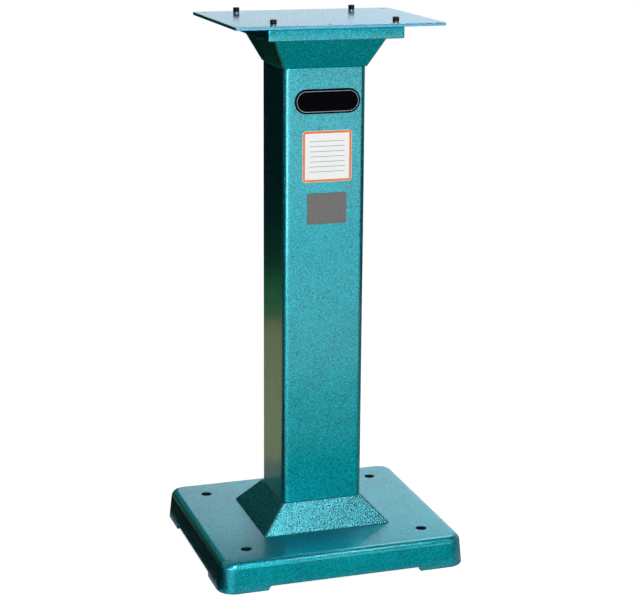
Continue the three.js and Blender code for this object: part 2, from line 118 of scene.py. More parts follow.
# Tie rod, nuts and washers
ROD_RADIUS = 8 * MM
ROD_PITCH = 2 * MM
ROD_THREAD_DEPTH = 1.1 * MM
ROD_THREAD_LENGTH = 60 * MM
ROD_END_CHAMFER = 1.5 * MM
NUT_ACROSS_FLATS = 24 * MM
NUT_HOLE_RADIUS = 8.3 * MM
NUT_FACE_RADIUS = NUT_ACROSS_FLATS / 2 * 0.96
NUT_CHAMFER_SLOPE = math.tan(math.radians(30))
WASHER_HOLE_RADIUS = 8.5 * MM
WASHER_EDGE = 0.35 * MM
LOCK_WASHER_GAP = math.radians(11)
LOCK_WASHER_SKEW = math.radians(7)

# Plates and labels on the column's front
NAMEPLATE_END_RADIUS = 17.5 * MM
NAMEPLATE_EDGE = 0.5 * MM
NAMEPLATE_LINE_INSET = 2.8 * MM
NAMEPLATE_LINE_WIDTH = 0.6 * MM
LABEL_RADIUS = 5 * MM
LABEL_BORDER_INSET = 0.6 * MM
LABEL_BORDER_WIDTH = 3.2 * MM
RULE_COUNT = 7
RULE_LENGTH = 54 * MM
RULE_WIDTH = 0.7 * MM
RULE_RADIUS = RULE_WIDTH / 3
RULE_PITCH = 7.5 * MM
FOIL_RADIUS = 1 * MM
PRINT_RELIEF = 0.08 * MM
SHEET_EDGE = 0.15 * MM

# Smoothness of round shapes
CORNER_STEPS = 12
SMALL_CORNER_STEPS = 5
FOIL_CORNER_STEPS = 3
RULE_CORNER_STEPS = 2
EDGE_STEPS = 8
SMALL_EDGE_STEPS = 3
ROUND_STEPS = 48
SHARP_ANGLE = math.radians(35)

# Levels and sizes taken from the frame
BASE_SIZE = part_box("base_casting")[1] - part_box("base_casting")[0]
BASE_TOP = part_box("column_shoe")[0].z
FOOT_GAP_X = BASE_SIZE.x / 2 - FOOT_LENGTH
FOOT_GAP_Y = BASE_SIZE.y / 2 - FOOT_LENGTH
REGISTER_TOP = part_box("base_casting")[1].z
SHOE_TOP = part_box("column_tube")[0].z
SHOE_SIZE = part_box("column_shoe")[1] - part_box("column_shoe")[0]
COLUMN_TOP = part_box("column_tube")[1].z
COLUMN_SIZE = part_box("column_tube")[1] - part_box("column_tube")[0]
FLARE_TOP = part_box("flare_collar")[1].z
FLARE_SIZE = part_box("flare_collar")[1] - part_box("flare_collar")[0]
FLANGE_BOTTOM = FLARE_TOP
FLANGE_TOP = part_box("top_flange")[1].z
FLANGE_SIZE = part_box("top_flange")[1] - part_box("top_flange")[0]
CUP_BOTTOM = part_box("top_flange")[0].z
PLATE_LOW, PLATE_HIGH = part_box("mounting_plate")
SCREW_PLACES = ("front_left", "front_right", "back_left", "back_right")

# Finishes of a piece, by their place in its list of materials
PAINTED = 0
# The anchor holes' bare iron, made near black as painted shade
SHADED_BORE = 1


class Shell:
    """A surface made of rings of points, strips between rings and flat faces bounded by rings."""

    def __init__(self):
        self.mesh = bmesh.new()

    def ring(self, points):
        return [self.mesh.verts.new(point) for point in points]

    def strip(self, first, second, finish=PAINTED):
        for here in range(len(first)):
            after = (here + 1) % len(first)
            face = self.mesh.faces.new((first[here], first[after], second[after], second[here]))
            face.material_index = finish

    def skin(self, outlines):
        """Strips through several outlines in turn. Returns the first and the last ring."""
        rings = [self.ring(points) for points in outlines]
        for first, second in zip(rings, rings[1:]):
            self.strip(first, second)
        return rings[0], rings[-1]

    def closed(self, outlines):
        """A skin with a flat face at each of its ends."""
        first, last = self.skin(outlines)
        self.flat(first)
        self.flat(last)

    def looped(self, outlines):
        """A skin whose last outline is joined to its first, round a hole."""
        first, last = self.skin(outlines)
        self.strip(first, last)

    def flat(self, *rings):
        """A flat face inside the first ring, with the other rings as holes in it."""
        edges = []
        for ring in rings:
            for here, point in enumerate(ring):
                after = ring[(here + 1) % len(ring)]
                known = self.mesh.edges.get((point, after))
                edges.append(known or self.mesh.edges.new((point, after)))
        bmesh.ops.triangle_fill(self.mesh, use_beauty=True, edges=edges, normal=(0, 0, 1))

    def piece(self, name, finishes, slot, node=None, place=None):
        """Makes the shell a smooth piece of the stand, which stands for a node of the frame."""
        if place:
            bmesh.ops.transform(self.mesh, matrix=place, verts=self.mesh.verts[:])
        bmesh.ops.recalc_face_normals(self.mesh, faces=self.mesh.faces[:])
        data = bpy.data.meshes.new(name)
        self.mesh.to_mesh(data)
        self.mesh.free()
        data.shade_smooth()
        data.set_sharp_from_angle(angle=SHARP_ANGLE)
        for material in finishes:
            data.materials.append(material)
        made = bpy.data.objects.new(name, data)
        bpy.context.scene.collection.objects.link(made)
        made.modifiers.new("even_shading", "WEIGHTED_NORMAL").keep_sharp = True
        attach(made, "root")
        if node:
            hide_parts(node)
        return made


def rounded_rectangle(width, depth, radius, z, steps=CORNER_STEPS, along_x=(), along_y=()):
    """Points of a rectangle with round corners, counter-clockwise, with extra points on its sides."""
    half_width, half_depth = width / 2, depth / 2
    sides = (
        [(x, half_depth) for x in reversed(along_x)],
        [(-half_width, y) for y in reversed(along_y)],
        [(x, -half_depth) for x in along_x],
        [(half_width, y) for y in along_y],
    )
    points = []
    for quarter, (side_x, side_y) in enumerate(((1, 1), (-1, 1), (-1, -1), (1, -1))):
        for step in range(steps + 1):
            angle = (quarter + step / steps) * math.pi / 2
            x = side_x * (half_width - radius) + radius * math.cos(angle)
            y = side_y * (half_depth - radius) + radius * math.sin(angle)
            points.append(Vector((x, y, z)))
        points += [Vector((x, y, z)) for x, y in sides[quarter]]
    return points


def turns(count):
    """Equal angles once round."""
    return [2 * math.pi * step / count for step in range(count)]


def around(reach, angle, z):
    """A point at a distance and in a direction from the z axis."""
    return Vector((reach * math.cos(angle), reach * math.sin(angle), z))


def circle(radius, z, x=0.0, y=0.0, count=ROUND_STEPS):
    return [around(radius, angle, z) + Vector((x, y, 0)) for angle in turns(count)]


def edge_roll(radius, steps=SMALL_EDGE_STEPS):
    """A rounded edge as pairs of inset and distance below the flat, from the side to the flat."""
    angles = [math.pi / 2 * step / steps for step in range(steps + 1)]
    return [(radius * (1 - math.cos(a)), radius * (1 - math.sin(a))) for a in angles]


def rolled_side(outline, low, high, radius):
    """Outlines of an upright side from low to high, with both of its edges rounded."""
    rising = [outline(inset, low + below) for inset, below in reversed(edge_roll(radius))]
    return rising + [outline(inset, high - below) for inset, below in edge_roll(radius)]


def moved(points, x, y):
    return [point + Vector((x, y, 0)) for point in points]


def four_corners(spacing_x, spacing_y):
    return [(sx * spacing_x / 2, sy * spacing_y / 2) for sy in (-1, 1) for sx in (-1, 1)]


# Shader nodes

def add(tree, kind, settings=None, **inputs):
    """A node with its settings and its inputs, each a plain value or another node's output."""
    made = tree.nodes.new("ShaderNode" + kind)
    for name, value in (settings or {}).items():
        setattr(made, name, value)
    for name, value in inputs.items():
        feed(tree, made.inputs[name.replace("_", " ")], value)
    return made


def feed(tree, socket, value):
    if isinstance(value, bpy.types.NodeSocket):
        tree.links.new(value, socket)
    else:
        socket.default_value = value


def sums(tree, operation, first, second):
    """The output of a Math node."""
    made = tree.nodes.new("ShaderNodeMath")
    made.operation = operation
    feed(tree, made.inputs[0], first)
    feed(tree, made.inputs[1], second)
    return made.outputs[0]


def blended(tree, share, first, second):
    """A colour between two others."""
    made = tree.nodes.new("ShaderNodeMix")
    made.data_type = "RGBA"
    feed(tree, made.inputs[0], share)
    feed(tree, made.inputs[6], first)
    feed(tree, made.inputs[7], second)
    return made.outputs[2]


def stretched(tree, value, low, high, new_low=0.0, new_high=1.0):
    """A value's range from low to high, taken to a new range."""
    made = add(tree, "MapRange", Value=value)
    for name, number in (("From Min", low), ("From Max", high), ("To Min", new_low), ("To Max", new_high)):
        feed(tree, made.inputs[name], number)
    return made.outputs["Result"]


def new_group(name, inputs, outputs):
    """An empty node group. Inputs and outputs are pairs of name and socket kind."""
    tree = bpy.data.node_groups.new(name, "ShaderNodeTree")
    for label, kind in inputs:
        tree.interface.new_socket(label, in_out="INPUT", socket_type="NodeSocket" + kind)
    for label, kind in outputs:
        tree.interface.new_socket(label, in_out="OUTPUT", socket_type="NodeSocket" + kind)
    start = tree.nodes.new("NodeGroupInput")
    end = tree.nodes.new("NodeGroupOutput")
    return tree, start.outputs, end.inputs


# Ranges of noise in the finishes, and the shares of dimples, flakes and clouds in the paint's colour
NOISE_RANGE = (0.3, 0.7)
DIMPLE_RANGE = (0.25, 0.75)
FLAKE_MIDDLE = 0.5
FLAKES_PER_DIMPLE = 1.3
CLOUD_FINENESS = 18.0
HOLLOW_SHARE = 0.3
FLAKE_SHARE = 0.65
CLOUD_SHARE = 0.1


def hammered_enamel():
    """Paint that dries in small dimples: colour, roughness and height of its dimples and metal flakes."""
    tree, given, result = new_group(
        "hammered_enamel",
        [
            ("Place", "Vector"), ("Dimple Size", "Float"), ("Softness", "Float"),
            ("Deep Color", "Color"), ("Bright Color", "Color"), ("Smooth", "Float"), ("Rough", "Float"),
        ],
        [("Color", "Color"), ("Roughness", "Float"), ("Height", "Float")],
    )
    density = sums(tree, "DIVIDE", 1.0, given["Dimple Size"])
    flake_density = sums(tree, "MULTIPLY", density, FLAKES_PER_DIMPLE)
    dimples = add(tree, "TexNoise", Vector=given["Place"], Scale=density, Detail=1.0, Roughness=0.4)
    flakes = add(tree, "TexVoronoi", Vector=given["Place"], Scale=flake_density)
    clouds = add(tree, "TexNoise", Vector=given["Place"], Scale=CLOUD_FINENESS, Detail=2.0)
    hollows = stretched(tree, dimples.outputs["Fac"], *DIMPLE_RANGE)
    dull = sums(tree, "SUBTRACT", FLAKE_MIDDLE, given["Softness"])
    shiny = sums(tree, "ADD", FLAKE_MIDDLE, given["Softness"])
    glitter = stretched(tree, flakes.outputs["Color"], dull, shiny)
    hollow_share = sums(tree, "MULTIPLY", hollows, HOLLOW_SHARE)
    glitter_share = sums(tree, "MULTIPLY", glitter, FLAKE_SHARE)
    cloud_share = stretched(tree, clouds.outputs["Fac"], *NOISE_RANGE, 0.0, CLOUD_SHARE)
    speckle = sums(tree, "ADD", hollow_share, glitter_share)
    share = sums(tree, "ADD", speckle, cloud_share)
    feed(tree, result["Color"], blended(tree, share, given["Deep Color"], given["Bright Color"]))
    feed(tree, result["Roughness"], stretched(tree, glitter, 0.0, 1.0, given["Smooth"], given["Rough"]))
    feed(tree, result["Height"], hollows)
    return tree


def grain():
    """Fine marks of a rolled, drawn or moulded surface: noise drawn out along one direction."""
    tree, given, result = new_group(
        "grain",
        [("Place", "Vector"), ("Stretch", "Vector"), ("Fineness", "Float")],
        [("Mask", "Float")],
    )
    drawn = add(tree, "VectorMath", {"operation": "MULTIPLY"})
    feed(tree, drawn.inputs[0], given["Place"])
    feed(tree, drawn.inputs[1], given["Stretch"])
    marks = add(
        tree, "TexNoise",
        Vector=drawn.outputs[0], Scale=given["Fineness"], Detail=4.0, Roughness=0.6,
    )
    feed(tree, result["Mask"], stretched(tree, marks.outputs["Fac"], *NOISE_RANGE))
    return tree


HAMMERED_ENAMEL = hammered_enamel()
GRAIN = grain()


def new_material(name, **constants):
    """A material with a Principled shader whose plain values are set on its own sockets."""
    material = bpy.data.materials.new(name)
    material.use_nodes = True
    tree = material.node_tree
    shader = tree.nodes["Principled BSDF"]
    for label, value in constants.items():
        shader.inputs[label.replace("_", " ")].default_value = value
    place = tree.nodes.new("ShaderNodeTexCoord").outputs["Object"]
    return material, tree, shader, place


def use_group(tree, group, **inputs):
    made = tree.nodes.new("ShaderNodeGroup")
    made.node_tree = group
    for name, value in inputs.items():
        feed(tree, made.inputs[name.replace("_", " ")], value)
    return made.outputs


def enamel(name, dimple_size, relief, softness, deep, bright, smooth, rough, **constants):
    material, tree, shader, place = new_material(name, **constants)
    paint = use_group(
        tree, HAMMERED_ENAMEL,
        Place=place, Dimple_Size=dimple_size, Softness=softness,
        Deep_Color=deep, Bright_Color=bright, Smooth=smooth, Rough=rough,
    )
    bump = add(tree, "Bump", Height=paint["Height"], Distance=relief, Strength=1.0)
    feed(tree, shader.inputs["Base Color"], paint["Color"])
    feed(tree, shader.inputs["Roughness"], paint["Roughness"])
    feed(tree, shader.inputs["Normal"], bump.outputs["Normal"])
    return material


def grained(name, fineness, dark, light, smooth, rough, relief, stretch=(1, 1, 1), **constants):
    material, tree, shader, place = new_material(name, **constants)
    marks = use_group(tree, GRAIN, Place=place, Stretch=stretch, Fineness=fineness)["Mask"]
    bump = add(tree, "Bump", Height=marks, Distance=relief, Strength=0.6)
    feed(tree, shader.inputs["Base Color"], blended(tree, marks, dark, light))
    feed(tree, shader.inputs["Roughness"], stretched(tree, marks, 0.0, 1.0, smooth, rough))
    feed(tree, shader.inputs["Normal"], bump.outputs["Normal"])
    return material


hammered_paint = enamel(
    "hammered_paint",
    dimple_size=1.35 * MM, relief=0.2 * MM, softness=0.19,
    deep=(0.0, 0.13, 0.17, 1), bright=(0.01, 0.74, 0.89, 1), smooth=0.28, rough=0.4,
    Metallic=1.0, Coat_Weight=1.0, Coat_Roughness=0.15, Coat_IOR=1.65,
)
base_paint = enamel(
    "base_paint",
    dimple_size=1.35 * MM, relief=0.15 * MM, softness=0.25,
    deep=(0.0, 0.14, 0.18, 1), bright=(0.01, 0.7, 0.85, 1), smooth=0.34, rough=0.44,
    Metallic=1.0, Coat_Weight=1.0, Coat_Roughness=0.15, Coat_IOR=1.65,
)
# The stand's hammered paint again, for the shoe, darker and with whiter flakes: the whiter flakes are
# painted glints of the lamps
shoe_paint_painted_glints = enamel(
    "shoe_paint_painted_glints",
    dimple_size=1.6 * MM, relief=0.22 * MM, softness=0.35,
    deep=(0.01, 0.21, 0.25, 1), bright=(0.12, 0.54, 0.65, 1), smooth=0.24, rough=0.31,
    Metallic=1.0, Coat_Weight=0.4, Coat_Roughness=0.18,
)
# The plate is painted, but its paler, bluer tone than the teal paint is painted reflection of the pale
# backdrop it mirrors
plate_paint = enamel(
    "plate_paint",
    dimple_size=1.4 * MM, relief=0.03 * MM, softness=0.35,
    deep=(0.1, 0.52, 0.82, 1), bright=(0.22, 0.7, 0.98, 1), smooth=0.26, rough=0.34,
    Metallic=0.8, Coat_Weight=0.9, Coat_Roughness=0.18,
)
# Bare drilled iron in the anchor holes, made near black: painted shade deep inside the holes
bore_painted_shade = grained(
    "bore_painted_shade", stretch=(1, 1, 0.05), fineness=1500.0, relief=0.03 * MM,
    dark=(0.004, 0.004, 0.005, 1), light=(0.012, 0.011, 0.011, 1), smooth=0.55, rough=0.75,
)
black_oxide = grained(
    "black_oxide", fineness=900.0, relief=0.02 * MM,
    dark=(0.006, 0.006, 0.009, 1), light=(0.02, 0.02, 0.028, 1), smooth=0.3, rough=0.45,
    Metallic=0.6,
)
zinc_steel = grained(
    "zinc_steel", fineness=260.0, relief=0.02 * MM,
    dark=(0.36, 0.38, 0.38, 1), light=(0.55, 0.56, 0.55, 1), smooth=0.25, rough=0.42,
    Metallic=1.0,
)
black_enamel = grained(
    "black_enamel", fineness=500.0, relief=0.004 * MM,
    dark=(0.001, 0.001, 0.002, 1), light=(0.003, 0.003, 0.004, 1), smooth=0.45, rough=0.55,
    Specular_IOR_Level=0.01,
)
bare_line = grained(
    "bare_line", fineness=700.0, relief=0.01 * MM,
    dark=(0.3, 0.36, 0.4, 1), light=(0.72, 0.84, 0.9, 1), smooth=0.3, rough=0.42,
    Metallic=1.0,
)
white_vinyl = grained(
    "white_vinyl", fineness=350.0, relief=0.01 * MM,
    dark=(0.93, 0.94, 0.93, 1), light=(0.96, 0.97, 0.96, 1), smooth=0.35, rough=0.45,
)
orange_ink = grained(
    "orange_ink", fineness=350.0, relief=0.01 * MM,
    dark=(0.80, 0.17, 0.03, 1), light=(0.90, 0.24, 0.05, 1), smooth=0.35, rough=0.45,
)
grey_ink = grained(
    "grey_ink", fineness=350.0, relief=0.01 * MM,
    dark=(0.16, 0.19, 0.25, 1), light=(0.24, 0.27, 0.33, 1), smooth=0.4, rough=0.5,
)
brushed_foil = grained(
    "brushed_foil", stretch=(0.04, 1, 1), fineness=2600.0, relief=0.01 * MM,
    dark=(0.14, 0.135, 0.13, 1), light=(0.26, 0.255, 0.245, 1), smooth=0.3, rough=0.45,
    Metallic=0.9,
)


# Base casting

def relief_height(inside):
    """Height of the relief between two feet, at a distance inside its end."""
    if inside >= FOOT_FILLET:
        return FOOT_HEIGHT
    if inside >= 0:
        return FOOT_HEIGHT - FOOT_FILLET + math.sqrt(FOOT_FILLET**2 - (FOOT_FILLET - inside) ** 2)
    return (FOOT_HEIGHT - FOOT_FILLET) * (1 + inside / FOOT_LEAD)


def foot_level(point):
    for place, gap in ((abs(point.x), FOOT_GAP_X), (abs(point.y), FOOT_GAP_Y)):
        if place < gap + FOOT_LEAD:
            return relief_height(gap - place)
    return 0.0


def foot_places(gap):
    """Places along a side where the edge of the relief bends, in rising order."""
    angles = [math.pi / 2 * step / EDGE_STEPS for step in range(EDGE_STEPS + 1)]
    right = [gap - FOOT_FILLET * (1 - math.cos(a)) for a in reversed(angles)] + [gap + FOOT_LEAD]
    return [-place for place in reversed(right)] + right


def base_outline(inset, z):
    return rounded_rectangle(
        BASE_SIZE.x - 2 * inset, BASE_SIZE.y - 2 * inset, BASE_CORNER_RADIUS - inset, z,
        along_x=foot_places(FOOT_GAP_X), along_y=foot_places(FOOT_GAP_Y),
    )


def bottom_outline(inset, rise):
    """An outline that follows the feet and the reliefs, at a height above them, on the drafted skirt."""
    points = []
    for outer, inner in zip(base_outline(0, 0), base_outline(BASE_DRAFT, 0)):
        z = foot_level(outer) + rise
        share = inset / BASE_DRAFT + z / BASE_TOP
        points.append(outer.lerp(inner, share) + Vector((0, 0, z)))
    return points


def base_skirt(shell):
    """The outside from the bottom edge over the rounded top edge. Returns the bottom and the top ring."""
    lean = math.atan2(BASE_DRAFT, BASE_TOP)
    arc_z = BASE_TOP - BASE_EDGE_RADIUS
    arc_start = arc_z + BASE_EDGE_RADIUS * math.sin(lean)
    arc_inset = BASE_EDGE_RADIUS * math.cos(lean) + arc_start * math.tan(lean)
    outlines = [bottom_outline(inset, below) for inset, below in reversed(edge_roll(BASE_BOTTOM_RADIUS))]
    for step in range(EDGE_STEPS + 1):
        angle = lean + (math.pi / 2 - lean) * step / EDGE_STEPS
        inset = arc_inset - BASE_EDGE_RADIUS * math.cos(angle)
        outlines.append(base_outline(inset, arc_z + BASE_EDGE_RADIUS * math.sin(angle)))
    return shell.skin(outlines)


def base_hollow(shell, ceiling):
    """The inside wall up to the ceiling. Returns the bottom and the top ring."""
    outlines = [bottom_outline(BASE_WALL, 0)]
    for inset, below in edge_roll(CEILING_FILLET, EDGE_STEPS):
        z = ceiling - below
        outlines.append(base_outline(BASE_WALL + BASE_DRAFT * z / BASE_TOP + inset, z))
    return shell.skin(outlines)


def anchor_boss(shell, ceiling, x, y):
    """A boss from the ceiling down to the floor, and the hole up through it. Returns its two end rings."""
    outside = []
    for inset, below in reversed(edge_roll(BOSS_FILLET)):
        outside.append(circle(BOSS_RADIUS + inset, ceiling - below, x, y))
    for inset, below in edge_roll(BASE_BOTTOM_RADIUS):
        outside.append(circle(BOSS_RADIUS - inset, below, x, y))
    outside.append(circle(ANCHOR_HOLE_RADIUS + ANCHOR_RIM, 0, x, y))
    outside.append(circle(ANCHOR_HOLE_RADIUS, ANCHOR_RIM, x, y))
    boss_top, bore_low = shell.skin(outside)
    rim = []
    for inset, below in edge_roll(ANCHOR_RIM):
        rim.append(circle(ANCHOR_HOLE_RADIUS + inset, BASE_TOP - below, x, y))
    bore_high, hole_top = shell.skin(rim)
    # The bore gets the near-black iron, which is painted shade inside the hole
    shell.strip(bore_low, bore_high, SHADED_BORE)
    return boss_top, hole_top


def register_outline(z):
    """The low block on the base's top that locates the shoe, just inside the shoe's walls."""
    share = (REGISTER_TOP - BASE_TOP) / (SHOE_TOP - BASE_TOP)
    margin = 2 * (COLLAR_WALL + REGISTER_CLEARANCE)
    width = SHOE_SIZE.x + (COLUMN_SIZE.x + 2 * COLLAR_LEDGE - SHOE_SIZE.x) * share - margin
    depth = SHOE_SIZE.y + (COLUMN_SIZE.y + 2 * COLLAR_LEDGE - SHOE_SIZE.y) * share - margin
    return rounded_rectangle(width, depth, COLLAR_RADIUS, z, SMALL_CORNER_STEPS)


def base_casting():
    shell = Shell()
    ceiling = BASE_TOP - BASE_TOP_THICKNESS
    outer_bottom, outer_top = base_skirt(shell)
    inner_bottom, inner_top = base_hollow(shell, ceiling)
    shell.strip(outer_bottom, inner_bottom)
    bosses = [
        anchor_boss(shell, ceiling, x, y) for x, y in four_corners(ANCHOR_SPACING_X, ANCHOR_SPACING_Y)
    ]
    hub_top, rod_hole = shell.skin([
        circle(HUB_RADIUS, ceiling),
        circle(HUB_RADIUS, ceiling - HUB_DROP),
        circle(ROD_HOLE_RADIUS, ceiling - HUB_DROP),
        circle(ROD_HOLE_RADIUS, REGISTER_TOP),
    ])
    register_bottom, register_top = shell.skin([register_outline(BASE_TOP), register_outline(REGISTER_TOP)])
    shell.flat(inner_top, hub_top, *[low for low, high in bosses])
    shell.flat(outer_top, register_bottom, *[high for low, high in bosses])
    shell.flat(register_top, rod_hole)
    return shell.piece("painted_base", [base_paint, bore_painted_shade], "hammered_paint", "base_casting")


# Shoe and flare

def collar(mouth, height, spigot, flip, end):
    """A hollow four-sided collar from its mouth, at z 0, to the column, with a spigot into the column."""
    end_width = COLUMN_SIZE.x + 2 * COLLAR_LEDGE
    end_depth = COLUMN_SIZE.y + 2 * COLLAR_LEDGE

    def outline(z, wall):
        share = z / height
        width = mouth.x + (end_width - mouth.x) * share - 2 * wall
        depth = mouth.y + (end_depth - mouth.y) * share - 2 * wall
        return rounded_rectangle(width, depth, COLLAR_RADIUS, z, SMALL_CORNER_STEPS)

    def spigot_outline(z, wall=0.0):
        margin = 2 * (COLUMN_WALL + REGISTER_CLEARANCE + wall)
        radius = COLUMN_RADIUS - COLUMN_WALL - wall
        return rounded_rectangle(
            COLUMN_SIZE.x - margin, COLUMN_SIZE.y - margin, radius, z, SMALL_CORNER_STEPS,
        )

    shell = Shell()
    ceiling = height - COLLAR_FLOOR
    outside = [outline(below, inset) for inset, below in reversed(edge_roll(COLLAR_RIM))]
    for inset, below in edge_roll(COLLAR_EDGE):
        outside.append([Vector((p.x, p.y, height - below)) for p in outline(height - below, inset)])
    outside += [spigot_outline(height), spigot_outline(height + spigot - COLLAR_EDGE)]
    outside.append(spigot_outline(height + spigot, COLLAR_EDGE))
    mouth_outside, spigot_end = shell.skin(outside)
    mouth_inside, inside_top = shell.skin([outline(0, COLLAR_WALL), outline(ceiling, COLLAR_WALL)])
    hole_low, hole_high = shell.skin([
        circle(ROD_HOLE_RADIUS, ceiling), circle(ROD_HOLE_RADIUS, height + spigot),
    ])
    shell.strip(mouth_outside, mouth_inside)
    shell.flat(inside_top, hole_low)
    shell.flat(spigot_end, hole_high)
    turn = Matrix.Rotation(math.pi, 4, "X") if flip else Matrix.Identity(4)
    return shell, Matrix.Translation((0, 0, end)) @ turn


def column_shoe():
    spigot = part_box("column_shoe")[1].z - SHOE_TOP
    shell, place = collar(SHOE_SIZE, SHOE_TOP - BASE_TOP, spigot, False, BASE_TOP)
    return shell.piece("painted_shoe", [shoe_paint_painted_glints], "hammered_paint", "column_shoe", place)


def flare_collar():
    spigot = COLUMN_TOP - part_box("flare_collar")[0].z
    shell, place = collar(FLARE_SIZE, FLARE_TOP - COLUMN_TOP, spigot, True, FLARE_TOP)
    return shell.piece("painted_flare", [hammered_paint], "hammered_paint", "flare_collar", place)


# Column tube

def column_tube():
    def outline(inset, z):
        return rounded_rectangle(
            COLUMN_SIZE.x - 2 * inset, COLUMN_SIZE.y - 2 * inset, COLUMN_RADIUS - inset, z,
        )

    shell = Shell()
    outer_low, outer_high = shell.skin(rolled_side(outline, SHOE_TOP, COLUMN_TOP, COLUMN_EDGE))
    inner_low, inner_high = shell.skin([outline(COLUMN_WALL, SHOE_TOP), outline(COLUMN_WALL, COLUMN_TOP)])
    shell.strip(outer_low, inner_low)
    shell.strip(outer_high, inner_high)
    return shell.piece("painted_column", [hammered_paint], "hammered_paint", "column_tube")


# Flange and plate

def screw_centres():
    boxes = [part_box("plate_screw_" + place) for place in SCREW_PLACES]
    return [((low + high) / 2).to_2d() for low, high in boxes]


def hole(shell, radius, low, high, x, y):
    """A hole with slightly rounded rims. Returns its lower and its upper ring."""
    def outline(inset, z):
        return circle(radius + inset, z, x, y)

    return shell.skin(rolled_side(outline, low, high, HOLE_RIM))


def top_flange():
    def outline(inset, z):
        width = FLANGE_SIZE.x - 2 * inset
        depth = FLANGE_SIZE.y - 2 * inset
        return rounded_rectangle(width, depth, FLANGE_RADIUS - inset, z, SMALL_CORNER_STEPS)

    shell = Shell()
    band_low, band_high = shell.skin(rolled_side(outline, FLANGE_BOTTOM, FLANGE_TOP, FLANGE_EDGE))
    cup_inside = CUP_RADIUS - CUP_WALL
    cup_floor = CUP_BOTTOM + CUP_FLOOR
    cup_low, cup_high = shell.skin([
        circle(CUP_RADIUS, FLANGE_BOTTOM),
        circle(CUP_RADIUS, CUP_BOTTOM),
        circle(ROD_HOLE_RADIUS, CUP_BOTTOM),
        circle(ROD_HOLE_RADIUS, cup_floor),
        circle(cup_inside, cup_floor),
        circle(cup_inside, FLANGE_TOP),
    ])
    tapped = [
        hole(shell, TAPPED_HOLE_RADIUS, FLANGE_BOTTOM, FLANGE_TOP, x, y) for x, y in screw_centres()
    ]
    shell.flat(band_low, cup_low, *[low for low, high in tapped])
    shell.flat(band_high, cup_high, *[high for low, high in tapped])
    return shell.piece("painted_flange", [hammered_paint], "hammered_paint", "top_flange")


def mounting_plate():
    centre = (PLATE_LOW + PLATE_HIGH) / 2
    size = PLATE_HIGH - PLATE_LOW

    def outline(inset, z):
        width = size.x - 2 * inset
        depth = size.y - 2 * inset
        points = rounded_rectangle(width, depth, PLATE_RADIUS - inset, z, SMALL_CORNER_STEPS)
        return moved(points, centre.x, centre.y)

    shell = Shell()
    low_edge, high_edge = shell.skin(rolled_side(outline, PLATE_LOW.z, PLATE_HIGH.z, PLATE_EDGE))
    back = PLATE_HIGH.y - MACHINE_HOLE_EDGE
    front = PLATE_LOW.y + MACHINE_HOLE_EDGE
    machine_holes = (
        (PLATE_LOW.x + MACHINE_HOLE_EDGE, back),
        (PLATE_HIGH.x - MACHINE_HOLE_EDGE, back),
        (FRONT_HOLE_X, front),
    )
    drilled = []
    for radius, places in ((MACHINE_HOLE_RADIUS, machine_holes), (TAPPED_HOLE_RADIUS, screw_centres())):
        drilled += [hole(shell, radius, PLATE_LOW.z, PLATE_HIGH.z, x, y) for x, y in places]
    shell.flat(low_edge, *[low for low, high in drilled])
    shell.flat(high_edge, *[high for low, high in drilled])
    return shell.piece("painted_plate", [plate_paint], "plate_paint", "mounting_plate")


# Screws, nuts, washers and the tie rod

def hexagon_radius(across_flats, angle):
    """Distance from the middle of a hexagon to its side, in a direction."""
    return across_flats / 2 / math.cos(angle % (math.pi / 3) - math.pi / 6)


def thread(radius, depth, pitch, low, high, count=ROUND_STEPS):
    """Outlines of a thread from low to high: the crest turns once round the shank in each pitch."""
    steps = round((high - low) / pitch * THREAD_STEPS)
    outlines = []
    for step in range(steps + 1):
        z = low + (high - low) * step / steps
        fade = min(1.0, (z - low) / pitch, (high - z) / pitch)
        points = []
        for angle in turns(count):
            phase = (z / pitch - angle / (2 * math.pi)) % 1.0
            reach = radius - depth * fade * abs(2 * phase - 1)
            points.append(around(reach, angle, z))
        outlines.append(points)
    return outlines


def cap_screw(place):
    """A socket head cap screw with a knurled head, its axis at the middle of its node."""
    low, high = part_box("plate_screw_" + place)
    centre = (low + high) / 2
    head_radius = (high.x - low.x) / 2
    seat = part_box("screw_washer_" + place)[1].z
    count = KNURL_STEPS * KNURL_COUNT

    def knurled(z):
        points = []
        for angle in turns(count):
            reach = head_radius - KNURL_DEPTH * (0.5 - 0.5 * math.cos(KNURL_COUNT * angle))
            points.append(around(reach, angle, z))
        return points

    def socket(z, share=1.0):
        return [around(share * hexagon_radius(SOCKET_ACROSS_FLATS, a), a, z) for a in turns(count)]

    shell = Shell()
    shank = thread(SCREW_RADIUS, SCREW_THREAD_DEPTH, SCREW_PITCH, low.z + HEAD_CHAMFER, seat, count)
    tip = circle(SCREW_RADIUS - SCREW_THREAD_DEPTH, low.z, count=count)
    outlines = [tip] + shank
    outlines.append(circle(head_radius - HEAD_CHAMFER / 2, seat, count=count))
    outlines.append(circle(head_radius, seat + HEAD_CHAMFER / 2, count=count))
    outlines.append(knurled(seat + HEAD_CHAMFER))
    outlines.append(knurled(high.z - 2 * HEAD_CHAMFER))
    outlines.append(circle(head_radius, high.z - 1.5 * HEAD_CHAMFER, count=count))
    for inset, below in edge_roll(HEAD_CHAMFER):
        outlines.append(circle(head_radius - inset, high.z - below, count=count))
    outlines.append(socket(high.z, SOCKET_MOUTH))
    outlines.append(socket(high.z - HEAD_CHAMFER / 3))
    outlines.append(socket(high.z - SOCKET_DEPTH))
    outlines.append(circle(SOCKET_POINT_RADIUS, high.z - SOCKET_DEPTH - SOCKET_CONE, count=count))
    shell.closed(outlines)
    spot = Matrix.Translation((centre.x, centre.y, 0))
    return shell.piece("cap_screw_" + place, [black_oxide], "black_oxide", "plate_screw_" + place, spot)


